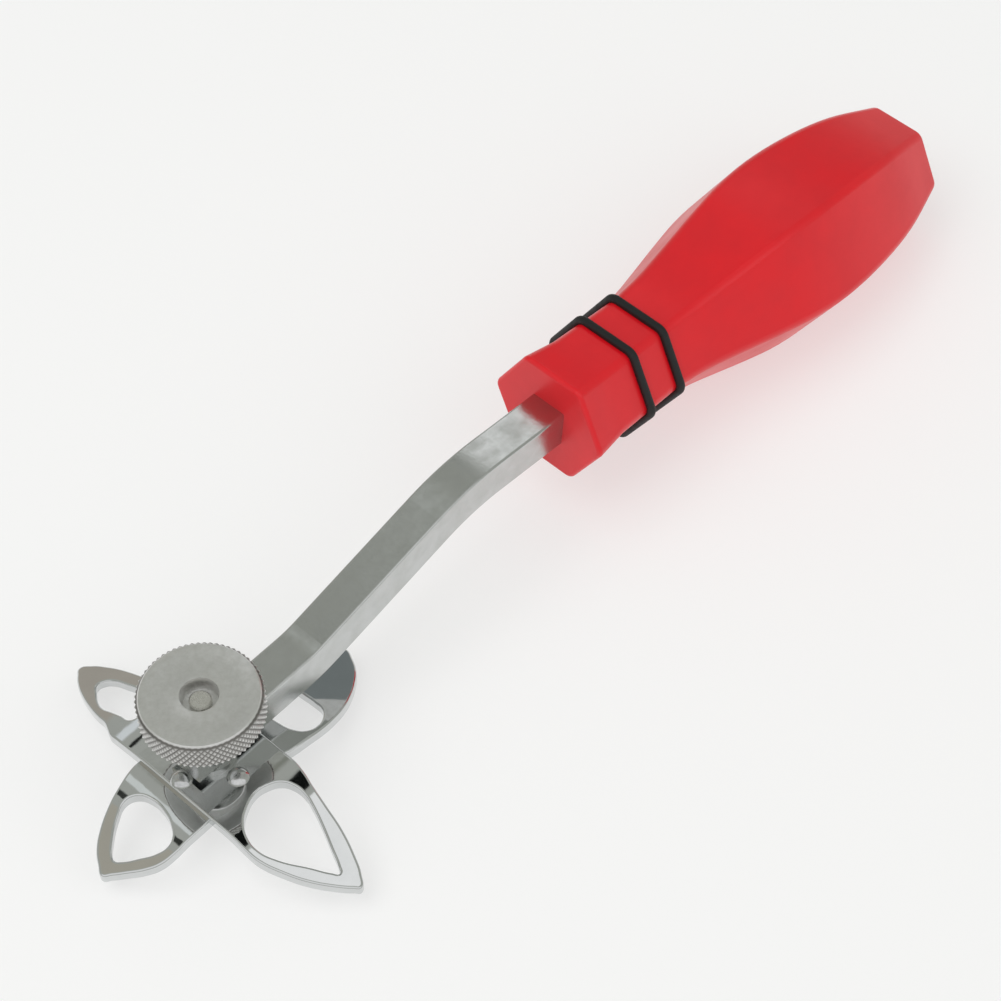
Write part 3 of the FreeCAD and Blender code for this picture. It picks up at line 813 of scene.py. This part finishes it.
@dataclass
class Studio:
    """Pale floor, soft light, surroundings for the plating to mirror, and the camera."""

    eye: tuple[float, float, float] = (-190.82, -278.25, 528.85)
    heading: float = 44.43
    pitch: float = 53.06
    roll: float = -1.88
    lens: float = 102.36
    sensor: float = 36.0
    clip: tuple[float, float] = (0.01, 20.0)
    floor_half: float = 3.0
    room: str = "#B4B6B0"
    backdrop: str = "#FAFAFA"
    paper: str = "#B8B8B8"
    paper_glow: float = 0.5
    cards: tuple[Card, ...] = (
        Card(54.0, 59.5, 3.0, 1.6, "#8C8E85", 1.0, 3.0),
        Card(72.0, 16.0, 14.0, 11.0, "#B4AEA4", 1.0, 5.0),
        Card(28.0, 25.0, 9.0, 9.0, "#7C8282", 1.0, 6.0),
        Card(66.0, 42.0, 5.0, 2.5, "#E8ECEE", 1.0, 2.0),
        Card(61.5, 50.5, 2.5, 1.0, "#1C1D1C", 1.0, 1.0),
        Card(37.5, 43.0, 6.0, 5.0, "#FFFFFF", 1.15, 2.0),
        Card(46.5, 52.3, 2.4, 1.1, "#161616", 1.0, 0.8),
        Card(27.0, 69.3, 4.2, 4.5, "#121413", 1.0, 1.0),
        Card(-15.0, 71.3, 6.0, 4.5, "#FFFFFF", 1.05, 1.0),
        Card(80.0, 62.8, 2.4, 2.6, "#E2E6E4", 1.0, 1.0),
        Card(103.5, 62.8, 1.8, 2.6, "#3A3C39", 1.0, 0.8),
        Card(127.0, 56.5, 4.5, 6.0, "#B8B4A8", 1.0, 1.0),
        Card(225.0, 50.0, 60.0, 25.0, "#FFFFFF", 0.9, 12.0),
    )

    def camera(self, datum: Datum) -> None:
        """Create the camera at the object's viewing angle."""
        data = bpy.data.cameras.new("camera")
        data.lens = self.lens
        data.sensor_width = self.sensor
        data.clip_start, data.clip_end = self.clip
        camera = bpy.data.objects.new("camera", data)
        camera.matrix_world = (
            Matrix.Translation(datum.axis + Vector(self.eye) * MM)
            @ Matrix.Rotation(math.radians(self.heading - 90.0), 4, "Z")
            @ Matrix.Rotation(math.radians(90.0 - self.pitch), 4, "X")
            @ Matrix.Rotation(math.radians(self.roll), 4, "Z")
        )
        bpy.context.scene.collection.objects.link(camera)
        bpy.context.scene.camera = camera

    def surroundings(self) -> None:
        """Paint the world by direction: a plain room with soft cards."""
        world = bpy.data.worlds.new("studio")
        world.use_nodes = True
        bpy.context.scene.world = world
        tree = world.node_tree
        tree.nodes.clear()
        direction = add_node(tree, "ShaderNodeTexCoord").outputs["Generated"]
        colour = add_node(tree, "ShaderNodeRGB").outputs[0]
        colour.default_value = linear(self.room)
        for card in self.cards:
            colour = self.hang(tree, direction, colour, card)
        view = add_node(tree, "ShaderNodeLightPath").outputs["Is Camera Ray"]
        lit, plain = (
            add_node(tree, "ShaderNodeBackground", inputs={"Color": shade, "Strength": 1.0}).outputs[0]
            for shade in (colour, linear(self.backdrop))
        )
        both = add_node(tree, "ShaderNodeMixShader", inputs={0: view, 1: lit, 2: plain})
        add_node(tree, "ShaderNodeOutputWorld", inputs={"Surface": both.outputs[0]})

    def hang(
        self,
        tree: bpy.types.NodeTree,
        direction: bpy.types.NodeSocket,
        behind: bpy.types.NodeSocket,
        card: Card,
    ) -> bpy.types.NodeSocket:
        """Lay one card over the room and return the new colour."""
        swing = Matrix.Rotation(math.radians(card.azimuth), 3, "Z")
        tilt = Matrix.Rotation(math.radians(-card.elevation), 3, "Y")
        dots = []
        for axis in (swing @ tilt).col:
            inputs = {0: direction, 1: axis}
            dot = add_node(tree, "ShaderNodeVectorMath", {"operation": "DOT_PRODUCT"}, inputs)
            dots.append(dot.outputs["Value"])
        mask = maths(tree, "GREATER_THAN", dots[0], 0.0)
        for dot, half in ((dots[1], card.half_width), (dots[2], card.half_height)):
            away = maths(tree, "ABSOLUTE", maths(tree, "DIVIDE", dot, dots[0]))
            inner = math.tan(math.radians(half - card.soft / 2.0))
            outer = math.tan(math.radians(half + card.soft / 2.0))
            inside = add_node(
                tree,
                "ShaderNodeMapRange",
                {"interpolation_type": "SMOOTHSTEP"},
                {"Value": away, "From Min": outer, "From Max": inner},
            ).outputs["Result"]
            mask = maths(tree, "MULTIPLY", mask, inside)
        shade = linear(card.colour)
        bright = (shade[0] * card.gain, shade[1] * card.gain, shade[2] * card.gain, 1.0)
        layers = {0: mask, 6: behind, 7: bright}
        return add_node(tree, "ShaderNodeMix", {"data_type": "RGBA"}, layers).outputs[2]

    def light(self, name: str, place: tuple[float, float, float], size: float, power: float) -> None:
        """Hang one square soft light aimed at the middle of the object."""
        data = bpy.data.lights.new(name, "AREA")
        data.size = size
        data.energy = power
        lamp = bpy.data.objects.new(name, data)
        spot = Vector(place)
        lamp.matrix_world = Matrix.Translation(spot) @ spot.to_track_quat("Z", "Y").to_matrix().to_4x4()
        lamp.visible_glossy = False
        bpy.context.scene.collection.objects.link(lamp)

    def floor(self) -> None:
        """Lay the pale floor."""
        bm = bmesh.new()
        bmesh.ops.create_grid(bm, x_segments=1, y_segments=1, size=self.floor_half)
        piece = object_from(bm, "floor", 45.0)
        material = bpy.data.materials.new("pale_paper")
        material.use_nodes = True
        shader = material.node_tree.nodes["Principled BSDF"]
        shader.inputs["Base Color"].default_value = linear(self.paper)
        shader.inputs["Roughness"].default_value = 0.95
        shader.inputs["Specular IOR Level"].default_value = 0.0
        shader.inputs["Emission Color"].default_value = linear("#FFFFFF")
        shader.inputs["Emission Strength"].default_value = self.paper_glow
        piece.data.materials.append(material)

    def build(self, datum: Datum) -> None:
        """Set up the whole studio."""
        bpy.context.scene.view_settings.view_transform = "Standard"
        self.camera(datum)
        self.surroundings()
        self.light("key", (-0.5, 0.2, 1.1), size=0.9, power=4.0)
        self.light("fill", (0.4, -0.9, 0.8), size=0.9, power=1.5)
        self.floor()


# ---------------------------------------------------------------- the whole


def dress(piece: bpy.types.Object, material: bpy.types.Material) -> None:
    """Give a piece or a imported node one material."""
    if not piece.material_slots:
        piece.data.materials.append(material)
    for place in piece.material_slots:
        place.material = material


def main() -> None:
    """Build the pieces in order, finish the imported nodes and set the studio."""
    logging.basicConfig(level=logging.INFO, format="%(message)s")
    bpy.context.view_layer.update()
    datum = Datum.read()
    axis = (datum.axis.x, datum.axis.y)
    nut_nickel = TurnedFinish(
        "turned_nickel_plate", "#E4E4E3", "#DADAD8", 1.0, 0.33, 0.4, 1.6, 0.4, 0.004, axis=axis
    ).make()
    materials = {
        "leaf_chrome": LEAF_CHROME.make(),
        "bar_chrome": BAR_CHROME.make(),
        "rivet_steel": RIVET_STEEL.make(),
        "stud_steel": STUD_STEEL.make(),
        "washer_steel": WASHER_STEEL.make(),
        "nut_nickel": nut_nickel,
        "grip_red": GRIP_RED.make(),
        "ring_rubber": RING_RUBBER.make(),
    }
    for part in (*STRIPS, ThumbNut(), Grip()):
        piece = part.build(datum)
        dress(piece, materials[piece["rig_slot"]])
        LOG.info("%s: %d faces", piece.name, len(piece.data.polygons))
    packed = {
        "shank_bar": "bar_chrome",
        "clamp_stud": "stud_steel",
        "spacer_washer": "washer_steel",
        "clamp_washer": "washer_steel",
        "o_ring_front": "ring_rubber",
        "o_ring_rear": "ring_rubber",
        "rivet_front": "rivet_steel",
        "rivet_right": "rivet_steel",
        "rivet_rear": "rivet_steel",
        "rivet_left": "rivet_steel",
    }
    for node, slot in packed.items():
        dress(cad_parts[node], materials[slot])
        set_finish(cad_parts[node], slot)
    Studio().build(datum)


if __name__ == "__main__":
    main()
